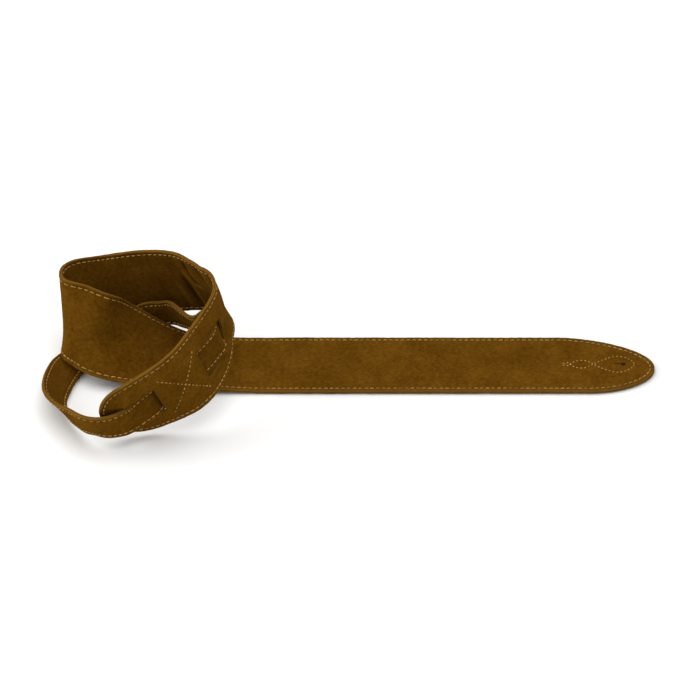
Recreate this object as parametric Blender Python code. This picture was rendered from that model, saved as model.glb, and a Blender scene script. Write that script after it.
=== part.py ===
"""Suede guitar strap: a wide shoulder strap of two suede layers, lying flat at its
tip and coiled at its other end, with a narrow tail strap woven through two windows
beside a cross-stitched bridge.  Metres, +Z up.  The origin is on the
underside of the flat run's inner length, at its middle.  The flat run points along
+X and its face looks up.

The strap is one long strip bent in space.  Its coiled part is laid out as stations
along the centre line: a point and the direction of the strap's width there, given
as a lean above the table and a compass heading.  Everything else (layers, windows,
stitch lines) is drawn in strap coordinates, along and across, and carried into
place by those stations."""

import math

import bpy
import numpy as np
from mathutils import Matrix, Vector

MM = 0.001

# ---------------------------------------------------------------- dimensions (mm)
WIDTH = 63.5            # wide strap
TAIL_WIDTH = 25.0       # narrow tail strap
LAYER = 1.15            # one suede layer
PLY_GAP = 0.30          # between the two layers
THREAD = 0.25           # radius of the sewing thread
THREAD_CLEAR = 0.20     # thread to suede
STITCH_INSET = 3.2      # stitch line from the edge
HALF_STACK = PLY_GAP / 2 + LAYER
THREAD_OFFSET = HALF_STACK + THREAD_CLEAR + THREAD
MID_HEIGHT = THREAD_OFFSET + THREAD   # middle of the strap above the table on the flat run

ORIGIN = (62.0, 0.0, MID_HEIGHT - HALF_STACK)   # middle of the inner flat length, on its underside
TIP_X = 321.0           # end of the tip
TIP_FAR_LENGTH, TIP_FAR_POWER = 72.0, 1.52    # the far side curves in over this length
TIP_NEAR_LENGTH, TIP_NEAR_POWER = 48.0, 1.84
TIP_SHIFT = -4.0        # the point of the tip sits a little off the centre line
HOLE_X = 297.4          # button hole
HOLE_RADIUS = 1.9
SLIT_LENGTH, SLIT_WIDTH = 7.0, 0.9

TIP_HINGE_X = 216.0
RUN_HINGE_X = 112.0
COIL_HINGE_X = 12.0
SEAM_FROM, SEAM_PULL = 24.4, 0.95   # the seams' pull starts this far from the middle line
FLEX_GAP = 2.4          # slack left between two rigid lengths at a bend line
FOLD_GAP = 4.4
TAIL_GAP = 5.0

COIL_START_X = 20.0
FOLD_S = 166.0          # where the tight left fold is hinged, along the coil
COIL_END = 470.0
SLOT_MID = -2.8         # the windows sit a little to one side of the middle
SLOT_HALF = 13.5        # half the width of a window
SLOT_1 = (343.0, 382.0)
SLOT_2 = (425.0, 454.0)
END_SHIFT = 8.0         # the windowed end's point sits off the centre line
END_LOW_ROUND, END_HIGH_ROUND = 36.0, 22.0   # each side curves in over this length
CROSS_MID = -2.4
CROSS_HALF = 20.0       # cross stitch, half its width
CROSS_S = (384.5, 420.5)

TAIL_HOLE_FROM_TIP = 18.0
TAIL_HOLE_RADIUS = 1.9

# Coil stations: x, y, height above the flat run's middle, lean and heading of the width
COIL = (
    (20, 0, 0, 0, 90),
    (-5, 0, 1, -1, 90),
    (-30, 0, 3.5, 1, 90),
    (-54, 0, 9.5, 12, 87),
    (-77, -1, 20.5, 25, 79),
    (-94, -2, 28.9, 42, 65),
    (-108, -1, 36, 61, 45),
    (-119.8, 5.8, 37.8, 68, 51),
    (-129.2, 20, 37, 84, 128),
    (-122, 33.5, 34.5, 67, 129),
    (-103, 41.8, 34.1, 64, 128),
    (-79, 43.6, 39.8, 70, 145),
    (-56, 42.8, 47.7, 73, 177),
    (-33, 33.8, 55.5, 71, -166),
    (-15, 14.5, 61.5, 66, -158),
    (-7.5, -9, 63, 76, -156),
    (-11.5, -33, 59, 72, -165),
    (-21, -55, 54.5, 68, -175),
    (-36, -74, 47.5, 69, -169),
    (-57, -83.3, 38, 69, -150),
    (-79, -87.9, 27, 67, -138),
    (-97, -91, 18, 66, -134),
)

# Tail stations from its plain end, under the front of the coil, round the left loop
TAIL_LOOP = (
    (-101, 21, 1.0, 1, 133),
    (-112, 11, 1.2, 2, 133),
    (-122, 1, 2.2, 6, 134),
    (-129, -13, 4.6, 20, 141),
    (-133, -28, 8.0, 34, 154),
    (-136, -45, 9.6, 43, -164),
    (-133, -62, 11.2, 52, -143),
    (-121.5, -80.5, 15, 65, -130),
    (-107.5, -96.7, 21, 66, -136),
)
# then through the windows: place along the wide strap, place across it, distance outside
# it, and roll about the tail's own length in degrees
TAIL_WOVEN = (
    (470, 6.2, 6.7, -5), (459, 2.2, 7.7, -4.5), (448, -2.6, 4.0, -8), (437, -3.0, 0.9, -12),
    (431, -3.2, -1.4, -8), (425, -2.7, -4.1, 0), (414, -2.4, -3.8, 0), (403, -2.4, -3.8, 0),
    (392, -2.4, -3.8, 0), (381, -2.4, -3.8, 0), (371, -2.4, -1.9, 0), (362, -2.4, 0.0, 0),
    (353, -2.8, -0.1, -2), (344, -2.8, -4.7, 0),
)
# and on inside the coil to the button-hole end
TAIL_END = (
    (-15.8, -14.3, 54.4, 66, -165),
    (-19.5, -8.6, 47.6, 60, -168),
    (-23.6, -3.2, 41.8, 55, -172),
    (-29.2, 5.6, 36.8, 54, -177),
    (-37, 18.5, 31.8, 60, 173),
    (-44.5, 31, 25.5, 74, -115),
    (-51.5, 36.4, 21.7, 80, -95),
    (-59, 36.3, 20.2, 88, 90),
    (-68, 33.8, 19.8, 81, 90),
    (-79, 32.0, 19.6, 80, 90),
)
TAIL_HINGE_FROM_END = 146.0   # bend line of the tail's left loop, from the plain end

SUEDE_FACE = (0.150, 0.066, 0.012, 1)
SUEDE_BACK = (0.105, 0.047, 0.009, 1)
THREAD_COLOUR = (0.42, 0.25, 0.10, 1)


# ---------------------------------------------------------------- the strip in space
def direction(lean, heading):
    a, b = math.radians(lean), math.radians(heading)
    return np.array([math.cos(a) * math.cos(b), math.cos(a) * math.sin(b), math.sin(a)])


def unit(v):
    return v / np.linalg.norm(v, axis=-1, keepdims=True)


def natural_spline(knots, values, at):
    """Natural cubic spline through values (n, k) at knots (n), read at the given places."""
    n = len(knots)
    h = np.diff(knots)
    a = np.zeros((n, n))
    r = np.zeros((n, values.shape[1]))
    a[0, 0] = a[-1, -1] = 1
    for i in range(1, n - 1):
        a[i, i - 1], a[i, i], a[i, i + 1] = h[i - 1], 2 * (h[i - 1] + h[i]), h[i]
        r[i] = 6 * ((values[i + 1] - values[i]) / h[i] - (values[i] - values[i - 1]) / h[i - 1])
    m = np.linalg.solve(a, r)
    i = np.clip(np.searchsorted(knots, at) - 1, 0, n - 2)
    t = (at - knots[i])[:, None]
    hi = h[i][:, None]
    return (
        values[i]
        + t * ((values[i + 1] - values[i]) / hi - hi * (2 * m[i] + m[i + 1]) / 6)
        + t ** 2 * m[i] / 2
        + t ** 3 * (m[i + 1] - m[i]) / (6 * hi)
    )


class Strip:
    """A strap's middle line with its width direction and its face normal, by arc length."""

    def __init__(self, centres, widths, up_first):
        knots = np.concatenate([[0], np.cumsum(np.linalg.norm(np.diff(centres, axis=0), axis=1))])
        fine = np.linspace(0, knots[-1], int(knots[-1] * 2) + 1)
        both = natural_spline(knots, np.hstack([centres, widths]), fine)
        self.c = both[:, :3]
        tangent = unit(np.gradient(self.c, axis=0))
        w = both[:, 3:]
        w = unit(w - (w * tangent).sum(1, keepdims=True) * tangent)
        normal = np.cross(w, tangent)
        if normal[0] @ np.array(up_first, float) < 0:
            normal = -normal
        self.t, self.w, self.n = tangent, w, normal
        self.s = np.concatenate([[0], np.cumsum(np.linalg.norm(np.diff(self.c, axis=0), axis=1))])
        self.length = float(self.s[-1])

    def read(self, s, table):
        return np.array([np.interp(s, self.s, table[:, k]) for k in range(3)])

    def flat_point(self, s, u):
        w = self.read(s, self.w)
        return self.read(s, self.c) + u * w / np.linalg.norm(w)

    def point(self, s, u, n=0.0):
        """A point across the strap at u, lifted n along the strap's true surface normal there."""
        here = self.flat_point(s, u)
        if n == 0.0:
            return here
        a, b = max(s - 1.5, 0.0), min(s + 1.5, self.length)
        along = self.flat_point(b, u) - self.flat_point(a, u)
        out = np.cross(self.read(s, self.w), along)
        out /= np.linalg.norm(out)
        if out @ self.read(s, self.n) < 0:
            out = -out
        return here + n * out


def coil_strip():
    centres = np.array([(x, y, z + MID_HEIGHT) for x, y, z, _, _ in COIL], float)
    widths = np.array([direction(a, b) for *_, a, b in COIL])
    return Strip(centres, widths, (0, 0, 1))


coil = coil_strip()
# the stations are laid out to COIL_END along the coil; the spline's own length differs a little
STRETCH = coil.length / COIL_END


def on_coil(s, u, n=0.0):
    """Wide strap coordinates: s from the start of the coil, negative along the flat run."""
    if s <= 0:
        return np.array([COIL_START_X - s, u, MID_HEIGHT + n])
    return coil.point(s * STRETCH, u, n)


def tail_strip():
    centres, widths = [], []
    for x, y, z, a, b in TAIL_LOOP:
        centres.append((x, y, z + MID_HEIGHT))
        widths.append(direction(a, b))
    for s, across, out, roll in TAIL_WOVEN:
        here = on_coil(s, across, out)
        centres.append(here)
        a = math.radians(roll)
        widths.append(unit(on_coil(s, across + 1, out) - here) * math.cos(a)
                      + unit(on_coil(s, across, out + 1) - here) * math.sin(a))
    for x, y, z, a, b in TAIL_END:
        centres.append((x, y, z + MID_HEIGHT))
        widths.append(direction(a, b))
    return Strip(np.array(centres, float), np.array(widths), (0, 0, -1))


tail = tail_strip()


def tail_side():
    """+1 if the tail's computed normal already faces out of the coil at the windows."""
    s = tail.length * 0.5
    here = tail.read(s, tail.c)
    k = np.argmin(np.linalg.norm(coil.c - here, axis=1))
    return 1.0 if tail.read(s, tail.n) @ coil.n[k] > 0 else -1.0


TAIL_FACE = tail_side()


def on_tail(s, u, n=0.0):
    return tail.point(s, u, n * TAIL_FACE)


# ---------------------------------------------------------------- outlines
def tip_edges(x):
    """Lowest and highest y of the wide strap's outline at x near the tip."""
    d = max(TIP_X - x, 0.0)

    def side(reach, length, power):
        if d >= length:
            return reach
        return reach * math.sqrt(max(0.0, 1 - (1 - d / length) ** power))

    far = TIP_SHIFT + side(WIDTH / 2 - TIP_SHIFT, TIP_FAR_LENGTH, TIP_FAR_POWER)
    near = TIP_SHIFT - side(WIDTH / 2 + TIP_SHIFT, TIP_NEAR_LENGTH, TIP_NEAR_POWER)
    return near, far


def spread(a, b, step):
    return list(np.linspace(a, b, max(2, int(math.ceil(abs(b - a) / step)) + 1)))


def merged(values, marks, keep=2.0):
    """Values with the marks put in, dropping plain values closer than keep to a mark."""
    out = [v for v in values if all(abs(v - m) > keep for m in marks)] + list(marks)
    return sorted(out)


# ---------------------------------------------------------------- blender helpers
def from_origin(p):
    """A point of the layout (mm) as metres from the part's origin."""
    return tuple((float(c) - float(o)) * MM for c, o in zip(p, ORIGIN))


def clear_scene():
    for obj in list(bpy.data.objects):
        bpy.data.objects.remove(obj, do_unlink=True)


def material(name, colour, roughness, sheen=0.0):
    mat = bpy.data.materials.new(name)
    mat.use_nodes = True
    shader = mat.node_tree.nodes["Principled BSDF"]
    shader.inputs["Base Color"].default_value = colour
    shader.inputs["Roughness"].default_value = roughness
    shader.inputs["Metallic"].default_value = 0.0
    if sheen:
        shader.inputs["Sheen Weight"].default_value = sheen
    return mat


def finish_object(obj, kind, body):
    colours = {
        "face": (SUEDE_FACE, 0.95, 0.3),
        "back": (SUEDE_BACK, 0.97, 0.3),
        "thread": (THREAD_COLOUR, 0.6, 0.0),
        "patch": (SUEDE_BACK, 0.9, 0.0),
    }
    colour, rough, sheen = colours[kind]
    obj.data.materials.append(material(obj.name + "_finish", colour, rough, sheen))
    empty = PIVOTS[body]
    obj.parent = empty
    obj.matrix_parent_inverse = Matrix.Translation(empty.location).inverted()
    return obj


def grid_mesh(name, rows, missing=()):
    """An open sheet through rows of points (mm); missing names quads (row, column) left open."""
    cols = len(rows[0])
    verts = [from_origin(p) for row in rows for p in row]
    faces = []
    for i in range(len(rows) - 1):
        for j in range(cols - 1):
            if (i, j) in missing:
                continue
            a = i * cols + j
            # both triangles run the same way in every layer, so that stacked layers stay parallel
            faces.append((a, a + 1, a + cols + 1))
            faces.append((a, a + cols + 1, a + cols))
    mesh = bpy.data.meshes.new(name)
    mesh.from_pydata(verts, [], faces)
    mesh.validate()
    obj = bpy.data.objects.new(name, mesh)
    bpy.context.scene.collection.objects.link(obj)
    return obj


def layer(name, kind, body, sheet, stations, columns, missing=(), cutters=(), inner=None, thick=None):
    """One suede layer: a sheet offset from the strap's middle, thickened away from it."""
    sign = 1.0 if kind == "face" else -1.0
    inner = PLY_GAP / 2 if inner is None else inner
    thick = LAYER if thick is None else thick
    middle = sign * (inner + thick / 2)
    rows = [[sheet(s, u, middle) for u in columns(s)] for s in stations]
    obj = grid_mesh(name, rows, missing)
    solid = obj.modifiers.new("thickness", "SOLIDIFY")
    solid.thickness = thick * MM
    solid.offset = 0.0
    solid.use_even_offset = False
    solid.use_rim = True
    for cutter in cutters:
        cut = obj.modifiers.new("button_hole", "BOOLEAN")
        cut.operation = "DIFFERENCE"
        cut.solver = "EXACT"
        cut.object = cutter
    obj.data.shade_smooth()
    obj.data.set_sharp_from_angle(angle=math.radians(35))
    return finish_object(obj, kind, body)


def thread(name, body, points, cyclic=False):
    """A run of sewing thread: a thin round line through the points (mm)."""
    curve = bpy.data.curves.new(name, "CURVE")
    curve.dimensions = "3D"
    curve.bevel_depth = THREAD * MM
    curve.bevel_resolution = 0
    curve.use_fill_caps = True
    spline = curve.splines.new("POLY")
    spline.points.add(len(points) - 1)
    for k, p in enumerate(points):
        spline.points[k].co = (*from_origin(p), 1)
    spline.use_cyclic_u = cyclic
    spline.use_smooth = True
    obj = bpy.data.objects.new(name, curve)
    bpy.context.scene.collection.objects.link(obj)
    return finish_object(obj, "thread", body)


def cutter_cylinder(name, place, axis, radius, slit=None):
    """A hidden cutter for a button hole: a round hole, or a slit when given length and width."""
    import bmesh

    bm = bmesh.new()
    if slit is None:
        bmesh.ops.create_cone(bm, cap_ends=True, segments=16, radius1=radius * MM,
                              radius2=radius * MM, depth=14 * MM)
    else:
        bmesh.ops.create_cube(bm, size=1.0)
        bmesh.ops.scale(bm, vec=(slit[0] * MM, slit[1] * MM, 14 * MM), verts=bm.verts)
    mesh = bpy.data.meshes.new(name)
    bm.to_mesh(mesh)
    bm.free()
    obj = bpy.data.objects.new(name, mesh)
    z = Vector(axis[2]).normalized()
    x = Vector(axis[0]).normalized()
    y = z.cross(x).normalized()
    x = y.cross(z)
    turn = Matrix((x, y, z)).transposed().to_4x4()
    obj.matrix_world = Matrix.Translation(Vector(from_origin(place))) @ turn
    obj.hide_render = True
    obj.display_type = "WIRE"
    bpy.context.scene.collection.objects.link(obj)
    return obj


PIVOTS = {}


def pivot(body, place):
    empty = bpy.data.objects.new("pivot_" + body, None)
    empty.location = Vector(from_origin(place))
    empty.empty_display_size = 0.02
    bpy.context.scene.collection.objects.link(empty)
    PIVOTS[body] = empty


# ---------------------------------------------------------------- build
def run_point(x, y, n):
    return np.array([x, y, MID_HEIGHT + n])


def run_sheet(x, y, n):
    """The flat run's layers: the seams draw them together a little along both edges."""
    return run_point(x, y, n * (SEAM_PULL if abs(y) > SEAM_FROM else 1.0))


def outline_walk(sheet, ends, rows, side):
    """Both stitch rows of a length of strap as two lists of points."""
    lines = []
    for sign in (-1, 1):
        lines.append([sheet(s, sign * (ends - STITCH_INSET), side * THREAD_OFFSET) for s in rows])
    return lines


def build():
    clear_scene()
    half = WIDTH / 2
    pivot("run_inner", (0.5 * (COIL_HINGE_X + RUN_HINGE_X), 0, MID_HEIGHT))
    pivot("run_outer", (RUN_HINGE_X, 0, MID_HEIGHT))
    pivot("tip", (TIP_HINGE_X, 0, MID_HEIGHT))
    pivot("coil_front", (COIL_HINGE_X, 0, MID_HEIGHT))
    pivot("coil_back", on_coil(FOLD_S, 0))
    pivot("tail_woven", on_coil(402, 0, TAIL_WOVEN[7][2]))
    pivot("tail_loop", on_tail(TAIL_HINGE_FROM_END, 0))

    # --- tip of the wide strap, with its button hole
    xs = [TIP_HINGE_X + FLEX_GAP / 2] + [
        TIP_X - d for d in (72, 60, 50, 40, 32, 25, 19, 14, 10, 6.5, 3.6, 1.5, 0.4)]

    def tip_columns(x):
        near, far = tip_edges(x)
        return [near + (far - near) * f for f in (0, 0.25, 0.5, 0.75, 1)]

    def tip_sheet(x, y, n):
        return run_point(x, y, n)

    hole = cutter_cylinder("cutter_tip_hole", (HOLE_X, 0, MID_HEIGHT),
                           ((1, 0, 0), None, (0, 0, 1)), HOLE_RADIUS)
    slit = cutter_cylinder("cutter_tip_slit", (HOLE_X - SLIT_LENGTH / 2, 1.2, MID_HEIGHT),
                           ((1, -0.35, 0), None, (0, 0, 1)), 0, (SLIT_LENGTH, SLIT_WIDTH))
    for kind, label in (("face", "tip_face_layer"), ("back", "tip_backing_layer")):
        layer(label, kind, "tip", tip_sheet, xs, tip_columns, cutters=(hole, slit))

    def tip_row(x):
        """Stitch line, a constant inset inside the tip's outline, near and far."""
        near, far = tip_edges(x)
        step = 0.5
        n2, f2 = tip_edges(x + step)
        slope_n, slope_f = (n2 - near) / step, (f2 - far) / step
        return (near + STITCH_INSET * math.hypot(1, slope_n), far - STITCH_INSET * math.hypot(1, slope_f))

    row_xs = [TIP_HINGE_X + FLEX_GAP / 2 + 0.5] + [
        TIP_X - d for d in (76, 64, 54, 44, 36, 29, 23, 18, 14, 11, 8.5, 6.8)]
    for side, label in ((1, "tip_edge_needle_thread"), (-1, "tip_edge_bobbin_thread")):
        near = [run_point(x, tip_row(x)[0], side * THREAD_OFFSET) for x in row_xs]
        far = [run_point(x, tip_row(x)[1], side * THREAD_OFFSET) for x in row_xs]
        cap = [run_point(TIP_X - 4.6, TIP_SHIFT - 6.5, side * THREAD_OFFSET),
               run_point(TIP_X - STITCH_INSET, TIP_SHIFT - 1.5, side * THREAD_OFFSET),
               run_point(TIP_X - STITCH_INSET, TIP_SHIFT + 2.0, side * THREAD_OFFSET),
               run_point(TIP_X - 4.6, TIP_SHIFT + 7.5, side * THREAD_OFFSET)]
        thread(label, "tip", near + cap + far[::-1])

    # three loops in a row, the largest round the button hole
    loops = ((250.8, 256.7, 1.9), (256.7, 274.2, 4.4), (274.2, 306.0, 9.6))

    def chain(side):
        """The loops drawn as one closed outline that nearly touches itself at each waist."""
        upper, lower = [], []
        for k, (a, b, reach) in enumerate(loops):
            steps = (4, 8, 14)[k]
            for i in range(steps + 1):
                f = i / steps
                swell = max(math.sin(math.pi * f ** (1.0 if k < 2 else 1.25)), 0.0) ** 0.75
                y = max(reach * swell, 0.55)
                x = a + (b - a) * f
                if upper and abs(x - upper[-1][0]) < 0.3:
                    continue
                upper.append((x, y - 0.6))
                lower.append((x, -y - 0.6))
        ring = upper + lower[::-1]
        return [run_point(x, y, side * THREAD_OFFSET) for x, y in ring]

    thread("tip_loop_needle_thread", "tip", chain(1), cyclic=True)
    thread("tip_loop_bobbin_thread", "tip", chain(-1), cyclic=True)

    # --- flat run, two lengths
    for body, (a, b) in (("run_outer", (RUN_HINGE_X, TIP_HINGE_X)), ("run_inner", (COIL_HINGE_X, RUN_HINGE_X))):
        xs = [a + FLEX_GAP / 2, b - FLEX_GAP / 2]
        for kind, part in (("face", "face_layer"), ("back", "backing_layer")):
            layer(f"{body}_{part}", kind, body, run_sheet, xs,
                  lambda s: [-half, -SEAM_FROM - 0.4, -SEAM_FROM + 0.4, SEAM_FROM - 0.4, SEAM_FROM + 0.4, half])
        for side, made in ((1, "needle"), (-1, "bobbin")):
            lines = outline_walk(run_point, half, [xs[0] + 0.5, xs[1] - 0.5], side)
            thread(f"{body}_near_{made}_thread", body, lines[0])
            thread(f"{body}_far_{made}_thread", body, lines[1])

    row = half - STITCH_INSET
    # --- coil: the rising front length, and the length from the fold round to the windows

    def band_side(s, reach, length):
        return reach * math.sqrt(max(0.0, 1 - (1 - min((COIL_END - s) / length, 1.0)) ** 2))

    def band_edges(s):
        return (END_SHIFT - band_side(s, half + END_SHIFT, END_LOW_ROUND),
                END_SHIFT + band_side(s, half - END_SHIFT, END_HIGH_ROUND))

    def band_columns(s):
        low, high = band_edges(s)
        a, b = SLOT_MID - SLOT_HALF, SLOT_MID + SLOT_HALF
        if s > SLOT_2[1] + 0.1:
            end_low, end_high = band_edges(SLOT_2[1])
            a = low + (high - low) * (a - end_low) / (end_high - end_low)
            b = low + (high - low) * (b - end_low) / (end_high - end_low)
        return [low, (-row if low < -half + 0.8 else 0.5 * (a + low)), a, 0.5 * (a + b), b,
                (row if high > half - 0.8 else 0.5 * (b + high)), high]

    front_s = [COIL_START_X - COIL_HINGE_X + FLEX_GAP / 2] + spread(22, FOLD_S - 14, 8) + [FOLD_S - 10, FOLD_S - 6, FOLD_S - FOLD_GAP / 2]
    back_s = merged(spread(FOLD_S + FOLD_GAP / 2, COIL_END - END_LOW_ROUND, 8), (*SLOT_1, SLOT_2[0]), 4.0)
    back_s += [439, 444, 448, SLOT_2[1], 458, 461, 464.5, 467, 469, COIL_END - 0.4]
    for kind, part in (("face", "face_layer"), ("back", "backing_layer")):
        layer(f"coil_front_{part}", kind, "coil_front", on_coil, front_s, lambda s: [-half, -row, 0, row, half])
        open_quads = {
            (i, j) for i in range(len(back_s) - 1)
            for j in (2, 3) for a, b in (SLOT_1, SLOT_2)
            if back_s[i] >= a - 1e-6 and back_s[i + 1] <= b + 1e-6
        }
        layer(f"coil_band_{part}", kind, "coil_back", on_coil, back_s,
              band_columns, missing=open_quads)
    for side, made in ((1, "needle"), (-1, "bobbin")):
        rows = [front_s[0] + 0.5] + front_s[1:-1] + [front_s[-1] - 0.5]
        lines = outline_walk(on_coil, half, rows, side)
        thread(f"coil_front_near_{made}_thread", "coil_front", lines[0])
        thread(f"coil_front_far_{made}_thread", "coil_front", lines[1])
        rows = [back_s[0] + 0.5] + [s for s in back_s[1:] if s < COIL_END - 8]
        lines = []
        for sign in (-1, 1):
            line = []
            for s in rows:
                # each station's edge, and its slope, give a line a constant inset inside it
                edge = band_edges(s)[0 if sign < 0 else 1]
                slope = (band_edges(s + 0.5)[0 if sign < 0 else 1] - edge) / 0.5
                line.append(on_coil(s, edge - sign * STITCH_INSET * math.hypot(1, slope), side * THREAD_OFFSET))
            line.append(on_coil(COIL_END - STITCH_INSET - 0.4, END_SHIFT + sign * 3.0, side * THREAD_OFFSET))
            lines.append(line)
        thread(f"coil_band_edge_{made}_thread", "coil_back", lines[0] + lines[1][::-1])
        # cross stitch on the bridge between the windows: one line, out and back over the bridge
        a, b = CROSS_S
        mid, h = 0.5 * (a + b), CROSS_HALF
        steps = 6
        first = [(a + (b - a) * f, CROSS_MID + h - 2 * h * f) for f in np.linspace(0, 1, steps + 1)]
        if side == 1:
            pts = [on_coil(s, u, side * THREAD_OFFSET) for s, u in first]
            thread(f"bridge_cross_{made}_thread_1", "coil_back", pts)
            lift = THREAD_OFFSET + 2 * THREAD + 0.1
            pts = [on_coil(s, CROSS_MID + u, side * (lift if abs(u) < 4 else THREAD_OFFSET)) for s, u in
                   [(b + (a - b) * f, h - 2 * h * f) for f in (0, 0.17, 0.33, 0.44, 0.5, 0.56, 0.67, 0.83, 1)]]
            thread(f"bridge_cross_{made}_thread_2", "coil_back", pts)

    # --- tail strap
    length = tail.length
    hinge = TAIL_HINGE_FROM_END
    th = TAIL_WIDTH / 2

    def tail_columns(s):
        d = length - s
        round_end = 14.0
        h = th if d >= round_end else th * math.sqrt(max(0.0, 1 - (1 - d / round_end) ** 2))
        k = h * (th - 2.8) / th
        return [-h, -k, k, h]

    loop_s = spread(0.0, hinge - TAIL_GAP / 2, 7)
    woven_s = spread(hinge + TAIL_GAP / 2, length - 16, 7) + [length - d for d in (11, 7, 4, 1.8, 0.5)]
    hole_s = length - TAIL_HOLE_FROM_TIP
    place = on_tail(hole_s, 0)
    axes = (tail.read(hole_s, tail.t), None, tail.read(hole_s, tail.n))
    tail_hole = cutter_cylinder("cutter_tail_hole", place, axes, TAIL_HOLE_RADIUS)
    back = on_tail(hole_s - SLIT_LENGTH / 2, 0)
    tail_slit = cutter_cylinder("cutter_tail_slit", back, axes, 0, (SLIT_LENGTH, SLIT_WIDTH))
    for kind, part in (("face", "face_layer"), ("back", "backing_layer")):
        layer(f"tail_loop_{part}", kind, "tail_loop", on_tail, loop_s, lambda s: [-th, -th + 2.8, th - 2.8, th])
        layer(f"tail_woven_{part}", kind, "tail_woven", on_tail, woven_s, tail_columns,
              cutters=(tail_hole, tail_slit))
    inset = 2.8
    for side, made in ((1, "needle"), (-1, "bobbin")):
        off = side * THREAD_OFFSET
        rows = [inset] + loop_s[1:-1] + [loop_s[-1] - 0.5]
        near = [on_tail(s, -th + inset, off) for s in rows]
        far = [on_tail(s, th - inset, off) for s in rows]
        thread(f"tail_loop_{made}_thread", "tail_loop", near[::-1] + [on_tail(inset, 0, off)] + far)
        rows = [woven_s[0] + 0.5] + [s for s in woven_s[1:] if s < length - 12] + [length - 11, length - 8, length - 5.5]
        near, far = [], []
        for s in rows:
            d = max(length - s - inset, 0.0)
            r = 14.0 - inset
            h = (th - inset) if d >= r else (th - inset) * math.sqrt(max(0.0, 1 - (1 - d / r) ** 2))
            near.append(on_tail(s, -h, off))
            far.append(on_tail(s, h, off))
        near.append(on_tail(length - inset - 0.6, -2.4, off))
        far.append(on_tail(length - inset - 0.6, 2.4, off))
        thread(f"tail_woven_{made}_thread", "tail_woven", near + far[::-1])


build()
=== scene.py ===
"""The looks of the suede strap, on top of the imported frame: two soft suede layers with
rounded cut edges, raised edge beads, a stitch in every stitch hole, and napped suede."""
import math

import bpy
import numpy as np
from mathutils import Matrix, Vector


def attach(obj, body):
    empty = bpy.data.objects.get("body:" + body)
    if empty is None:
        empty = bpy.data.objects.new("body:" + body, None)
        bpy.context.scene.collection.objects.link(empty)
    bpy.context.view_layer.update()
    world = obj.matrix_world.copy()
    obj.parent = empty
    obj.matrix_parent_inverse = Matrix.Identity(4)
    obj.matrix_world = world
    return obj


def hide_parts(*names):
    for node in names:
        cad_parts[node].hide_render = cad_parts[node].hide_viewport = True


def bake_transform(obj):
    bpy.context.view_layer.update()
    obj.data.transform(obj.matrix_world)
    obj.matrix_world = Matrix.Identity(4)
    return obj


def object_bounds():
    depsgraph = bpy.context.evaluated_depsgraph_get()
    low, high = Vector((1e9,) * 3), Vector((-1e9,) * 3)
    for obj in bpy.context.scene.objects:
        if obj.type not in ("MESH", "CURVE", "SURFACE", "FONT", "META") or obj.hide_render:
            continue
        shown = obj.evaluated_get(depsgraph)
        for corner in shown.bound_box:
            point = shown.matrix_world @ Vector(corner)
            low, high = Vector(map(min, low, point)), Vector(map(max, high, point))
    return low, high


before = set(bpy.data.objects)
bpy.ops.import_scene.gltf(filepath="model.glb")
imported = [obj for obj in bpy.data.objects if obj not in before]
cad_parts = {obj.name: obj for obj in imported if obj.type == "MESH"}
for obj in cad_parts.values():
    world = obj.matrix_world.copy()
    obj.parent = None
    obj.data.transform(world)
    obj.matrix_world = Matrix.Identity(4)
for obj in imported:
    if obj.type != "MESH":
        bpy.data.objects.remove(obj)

CAD_LOW, CAD_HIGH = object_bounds()

MM = 0.001
WIDTH = 63.5
HALF = WIDTH / 2
TAIL_WIDTH = 25.0
TAIL_HALF = TAIL_WIDTH / 2
LAYER = 1.15
PLY_GAP = 0.22
HALF_STACK = 1.30
MID_HEIGHT = 2.0
ORIGIN = np.array((62.0, 0.0, MID_HEIGHT - HALF_STACK))
STITCH_INSET = 3.2
TAIL_INSET = 2.8
STITCH_PITCH = 4.4
STITCH_LENGTH = 3.1
THREAD_RADIUS = 0.46

TIP_X = 321.0
TIP_FAR_LENGTH, TIP_FAR_POWER = 72.0, 1.52
TIP_NEAR_LENGTH, TIP_NEAR_POWER = 48.0, 1.84
TIP_SHIFT = -4.0
HOLE_X = 297.4
COIL_START_X = 20.0
FOLD_S = 166.0
COIL_END = 470.0
SLOT_MID = -2.8
SLOT_HALF = 13.5
CROSS_MID = -2.4
SLOT_1 = (343.0, 382.0)
SLOT_2 = (425.0, 454.0)
END_SHIFT = 8.0
END_LOW_ROUND, END_HIGH_ROUND = 36.0, 22.0
CROSS_HALF = 20.0
CROSS_S = (384.5, 420.5)
TAIL_HOLE_FROM_TIP = 18.0
TAIL_ROUND = 14.0
TAIL_HINGE = 146.0

COIL = (
    (20, 0, 0, 0, 90),
    (-5, 0, 1, -1, 90),
    (-30, 0, 3.5, 1, 90),
    (-54, 0, 9.5, 12, 87),
    (-77, -1, 20.5, 25, 79),
    (-94, -2, 28.9, 42, 65),
    (-108, -1, 36, 61, 45),
    (-119.8, 5.8, 37.8, 68, 51),
    (-129.2, 20, 37, 84, 128),
    (-122, 33.5, 34.5, 67, 129),
    (-103, 41.8, 34.1, 64, 128),
    (-79, 43.6, 39.8, 70, 145),
    (-56, 42.8, 47.7, 73, 177),
    (-33, 33.8, 55.5, 71, -166),
    (-15, 14.5, 61.5, 66, -158),
    (-7.5, -9, 63, 76, -156),
    (-11.5, -33, 59, 72, -165),
    (-21, -55, 54.5, 68, -175),
    (-36, -74, 47.5, 69, -169),
    (-57, -83.3, 38, 69, -150),
    (-79, -87.9, 27, 67, -138),
    (-97, -91, 18, 66, -134),
)

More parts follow.
